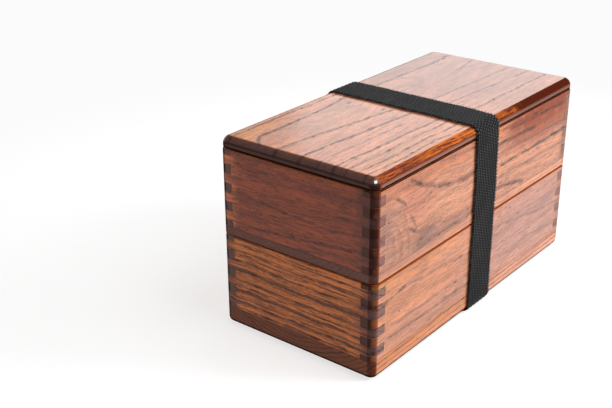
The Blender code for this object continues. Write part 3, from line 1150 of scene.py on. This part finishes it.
def outline(x_half, low, high, foot, shoulder):
    """Points and outward directions round the box, from the left side down, under, up and over."""
    points = [((-x_half, OVERLAP_HIGH), (-1.0, 0.0))]
    for centre_x, centre_z, radius, start in (
        (-x_half + foot, low + foot, foot, 180.0),
        (x_half - foot, low + foot, foot, 270.0),
        (x_half - shoulder, high - shoulder, shoulder, 0.0),
        (-x_half + shoulder, high - shoulder, shoulder, 90.0),
    ):
        for step in range(ARC_STEPS + 1):
            angle = math.radians(start + 90.0 * step / ARC_STEPS)
            out = (math.cos(angle), math.sin(angle))
            place = (centre_x + radius * out[0], centre_z + radius * out[1])
            points.append((place, out))
    points.append(((-x_half, OVERLAP_LOW), (-1.0, 0.0)))
    return points


def walk(points, step):
    """Even steps along a row of points, each with its outward direction and distance so far."""
    lengths = [0.0]
    for (first, _), (second, _) in zip(points, points[1:]):
        lengths.append(lengths[-1] + math.dist(first, second))
    count = round(lengths[-1] / step)
    stations = []
    index = 0
    for number in range(count + 1):
        distance = lengths[-1] * number / count
        while index < len(points) - 2 and lengths[index + 1] < distance:
            index += 1
        span = lengths[index + 1] - lengths[index]
        share = 0.0 if span == 0.0 else (distance - lengths[index]) / span
        (ax, az), (aox, aoz) = points[index]
        (bx, bz), (box, boz) = points[index + 1]
        out = Vector((aox + (box - aox) * share, 0.0, aoz + (boz - aoz) * share)).normalized()
        place = Vector((ax + (bx - ax) * share, 0.0, az + (bz - az) * share))
        stations.append((place, out, distance))
    return stations


def smooth_step(value):
    value = min(max(value, 0.0), 1.0)
    return value * value * (3.0 - 2.0 * value)


def drift(share):
    """How far the band has strayed from its middle line at this share of its length."""
    for (first, here), (last, there) in zip(DRIFTS, DRIFTS[1:]):
        if share <= last:
            return here + (there - here) * smooth_step((share - first) / (last - first))
    return DRIFTS[-1][1]


carrier_low = STRIP_LOW[2] + BAND_GAP + BAND_THICKNESS
outline_points = outline(
    BOX_SIDE, carrier_low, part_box("lid")[1][2], FOOT_ROUNDING, LID_ROUNDING
)
stations = walk(outline_points, STITCH / PER_STITCH)
strip_length = stations[-1][2]
print("strip:", round(strip_length * 1000, 1), "mm long,", len(stations), "rows")

# %% Weave the strip
def thread_height(along, column, across):
    """Height of the weave from 0 to 1. Neighbouring columns are half a stitch apart."""
    phase = (along / STITCH + 0.5 * (column % 2)) % 1.0
    crest = math.sin(math.pi * phase)
    side = math.sin(math.pi * across)
    return side * (0.15 + 0.85 * crest)


def sew_overlap(shape, depth_layer):
    """Two rows of stitches across the overlap, each stitch a drawn-out bead of thread."""
    outside = -(BOX_SIDE + BAND_GAP + 2.0 * BAND_THICKNESS)
    middle = BAND_CENTRE + drift(1.0)
    for height in SEAM_HEIGHTS:
        for number in range(SEAM_STITCHES):
            across = (number - (SEAM_STITCHES - 1) / 2) * SEAM_PITCH
            place = Matrix.Translation((outside, middle + across, height))
            place = place @ Matrix.Diagonal((*SEAM_THREAD, 1.0))
            bead = bmesh.ops.create_uvsphere(
                shape, u_segments=8, v_segments=6, radius=1.0, matrix=place
            )
            for vert in bead["verts"]:
                vert[depth_layer] = 1.0


def add_shape(name, shape):
    """Puts a finished shape into the scene as an object."""
    mesh = bpy.data.meshes.new(name)
    shape.to_mesh(mesh)
    shape.free()
    return add_object(name, mesh)


def make_band():
    shape = bmesh.new()
    depth_layer = shape.verts.layers.float.new("thread_height")
    sew_overlap(shape, depth_layer)
    steps = COLUMNS * PER_COLUMN
    rows = []
    for place, out, distance in stations:
        share = distance / strip_length
        lift = 0.0
        if share > 0.5 and place.x < 0.0:
            lift = BAND_THICKNESS * smooth_step((OVERLAP_HIGH + LIFT_RUN - place.z) / LIFT_RUN)
        middle = BAND_CENTRE + drift(share)
        tooth = TOOTH if (distance / TOOTH_PITCH) % 1.0 < 0.5 else 0.0
        row = []
        inner = BAND_GAP + lift
        woven_width = BAND_WIDTH - TOOTH
        for side in (-0.5, 0.5):
            y = middle + side * woven_width
            vert = shape.verts.new(place + out * inner + Vector((0.0, y, 0.0)))
            row.append(vert)
        for step in range(steps + 1):
            column, part = divmod(step, PER_COLUMN)
            height = thread_height(distance, column, part / PER_COLUMN)
            y = middle + woven_width * (step / steps - 0.5)
            top = inner + BAND_THICKNESS - RELIEF * (1.0 - height)
            if step in (0, steps):
                y += math.copysign(tooth, y - middle)
                height = tooth / TOOTH
                top = inner + BAND_THICKNESS * TOOTH_LEVEL
            vert = shape.verts.new(place + out * top + Vector((0.0, y, 0.0)))
            vert[depth_layer] = height
            row.append(vert)
        rows.append(row)
    order = [0] + list(range(2, steps + 3)) + [1]
    for near, far in zip(rows, rows[1:]):
        for first, second in zip(order, order[1:] + order[:1]):
            shape.faces.new((near[first], near[second], far[second], far[first]))
    for face in shape.faces:
        face.smooth = True
    for row in (rows[0], rows[-1]):
        shape.faces.new([row[index] for index in order])
    bmesh.ops.recalc_face_normals(shape, faces=shape.faces)
    return add_shape("woven_band", shape)


band = make_band()
print("woven band:", len(band.data.polygons), "faces")

# %% [markdown]
# The threads are black polyester. The height that the weave stored at each point steers the
# colour: the crests get a painted highlight, and the gaps between them are painted dark with shade.

# %% Elastic material
# The crest tones include a painted highlight, and the tone between threads is painted shade.
THREAD = (0.125, 0.128, 0.132)
WORN_THREAD = (0.23, 0.23, 0.235)
LOOSE_FIBRE = (0.16, 0.16, 0.162)
SHADE_BETWEEN_THREADS = (0.002, 0.002, 0.0022)
THREAD_ROUGHNESS = 0.62
THREAD_SHINE = 0.08
THREAD_SHEEN = 0.09
FUZZ_BUMP = 0.00008


def make_elastic():
    material, graph, shader = new_material("band_elastic")
    height = graph.node("ShaderNodeAttribute", attribute_name="thread_height").outputs["Fac"]
    place = graph.millimetres()
    fuzz = graph.noise(place, 0.35, 0.35, 2.0, 0.7)
    wear = graph.noise(place, 9.0, 9.0, 3.0)
    thread = graph.mix(graph.between(wear, 0.3, 0.7), THREAD, WORN_THREAD)
    thread = graph.mix(graph.times(graph.between(fuzz, 0.5, 0.8), 0.4), thread, LOOSE_FIBRE)
    colour = graph.mix(graph.between(height, 1.0, 0.66), thread, SHADE_BETWEEN_THREADS)
    graph.feed(shader.inputs["Base Color"], colour)
    graph.feed(shader.inputs["Roughness"], graph.add(THREAD_ROUGHNESS, graph.times(fuzz, 0.3)))
    shader.inputs["Specular IOR Level"].default_value = THREAD_SHINE
    shader.inputs["Sheen Weight"].default_value = THREAD_SHEEN
    shader.inputs["Sheen Roughness"].default_value = 0.5
    bump = graph.node("ShaderNodeBump", {"Height": fuzz, "Strength": 0.5, "Distance": FUZZ_BUMP})
    graph.feed(shader.inputs["Normal"], bump.outputs[0])
    return material


elastic = make_elastic()
band.data.materials.append(elastic)
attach(band, "band")
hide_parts("elastic_band")

# %% [markdown]
# ## Floor and light
#
# The box stands on a plain white floor. A strong soft lamp behind its right side lights that side. A
# weaker one high on the same side lights the lid and keeps the shadow on the left short, and one low
# behind the box puts the pale sheen on the lid's lacquer. A wide one at the front keeps the front end
# from going black. A last lamp only shines, so it makes the glint on the lid's near corner and
# lights nothing else.
#
# A photographer would run the floor up into a white backdrop. Here it is one flat sheet whose colour
# does that: near the box it is partly lit by the lamps, so it keeps the soft shade beside the box,
# and further off its own white takes over and meets the white behind it without an edge.

# %% Floor
WHITE = 0.965
FLOOR_RADIUS = 5.0
FLOOR_GLOW = 0.67
FLOOR_TONE = (0.49, 0.506, 0.520)
FLOOR_BOUNCE = (0.25, 0.25, 0.25)
# Painted light: near the box the floor's glow is a little warm, as if lit by light bounced from the
# wood.
WARM_BOUNCE_GLOW = (1.0, 0.98, 0.962)
NEAR_FLOOR = 0.16
FAR_FLOOR = 0.45


def background_rays(graph):
    """1 for the rays that should meet a white background: camera, glossy and transmission rays."""
    path = graph.node("ShaderNodeLightPath").outputs
    return graph.most(path["Is Camera Ray"], path["Is Glossy Ray"], path["Is Transmission Ray"])


def show(graph, output, lighting, seen):
    """Ends a graph: seen is for the rays that meet a background, lighting for all the others."""
    mixed = graph.node("ShaderNodeMixShader", {"Fac": background_rays(graph)})
    graph.feed(mixed.inputs[1], lighting)
    graph.feed(mixed.inputs[2], seen)
    graph.node(output, {"Surface": mixed.outputs[0]})


def bare_graph(owner):
    """The graph of a new material or world, without the nodes that it comes with."""
    owner.use_nodes = True
    owner.node_tree.nodes.clear()
    return Graph(owner.node_tree)


def make_floor():
    shape = bmesh.new()
    bmesh.ops.create_circle(shape, cap_ends=True, segments=64, radius=FLOOR_RADIUS)
    floor = add_shape("floor", shape)
    material = bpy.data.materials.new("floor_white")
    graph = bare_graph(material)
    plain = graph.node("ShaderNodeBsdfDiffuse", {"Color": FLOOR_BOUNCE}).outputs[0]
    place = graph.node("ShaderNodeTexCoord").outputs["Object"]
    away = graph.node("ShaderNodeVectorMath", {0: place}, operation="LENGTH").outputs["Value"]
    far = graph.between(away, NEAR_FLOOR, FAR_FLOOR)
    level = graph.add(FLOOR_GLOW, graph.times(far, WHITE - FLOOR_GLOW))
    warmth = graph.mix(far, WARM_BOUNCE_GLOW, (1.0, 1.0, 1.0))
    glow = graph.node("ShaderNodeEmission", {"Color": warmth, "Strength": level}).outputs[0]
    tone = graph.mix(far, FLOOR_TONE, (0.0, 0.0, 0.0))
    shade = graph.node("ShaderNodeBsdfDiffuse", {"Color": tone}).outputs[0]
    bright = graph.node("ShaderNodeAddShader")
    graph.feed(bright.inputs[0], glow)
    graph.feed(bright.inputs[1], shade)
    show(graph, "ShaderNodeOutputMaterial", plain, bright.outputs[0])
    floor.data.materials.append(material)
    return floor


floor = make_floor()
print("floor:", round(floor.dimensions.x, 1), "m across")

# %% Lamps and surroundings
AIM = Vector((0.0, 0.0, 0.06))
ROOM_TONE = (0.22, 0.22, 0.225)
ROOM_DIMMER_BY = 0.7


def softbox(name, place, size, power, only_shine=False):
    """A square soft lamp that faces the box. only_shine leaves it to reflections alone."""
    data = bpy.data.lights.new(name, "AREA")
    data.shape = "SQUARE"
    data.size = size
    data.energy = power
    lamp = add_object(name, data)
    lamp.location = place
    lamp.rotation_euler = (AIM - Vector(place)).to_track_quat("-Z", "Y").to_euler()
    lamp.visible_camera = False
    lamp.visible_diffuse = not only_shine


softbox("right_softbox", (1.05, 0.72, 0.66), 0.6, 17.0)
softbox("top_softbox", (0.60, 0.10, 1.20), 0.7, 6.5)
softbox("back_softbox", (-0.75, 1.75, 0.55), 1.2, 4.4)
softbox("front_softbox", (-0.50, -1.40, 0.60), 1.0, 5.2)
softbox("corner_glint", (0.785, -0.537, 1.07), 0.75, 42.0, only_shine=True)


def light_the_room():
    """A white backdrop behind the box, and a dimmer room behind the camera for reflections."""
    world = bpy.data.worlds.new("room")
    bpy.context.scene.world = world
    graph = bare_graph(world)
    direction = graph.node("ShaderNodeTexCoord").outputs["Generated"]
    towards_lens = (math.sin(CAMERA_AZIMUTH), -math.cos(CAMERA_AZIMUTH), 0.0)
    ahead = graph.vector_maths("DOT_PRODUCT", direction, towards_lens)
    path = graph.node("ShaderNodeLightPath").outputs
    dim_side = graph.times(graph.between(ahead, 0.0, 0.7), path["Is Glossy Ray"])
    strength = graph.less(1.0, graph.times(dim_side, ROOM_DIMMER_BY))
    room = graph.node("ShaderNodeBackground", {"Color": ROOM_TONE}).outputs[0]
    white = graph.node(
        "ShaderNodeBackground", {"Color": (WHITE, WHITE, WHITE), "Strength": strength}
    ).outputs[0]
    show(graph, "ShaderNodeOutputWorld", room, white)


light_the_room()
bpy.context.scene.view_settings.view_transform = "Standard"
print("lamps:", len(bpy.data.lights))
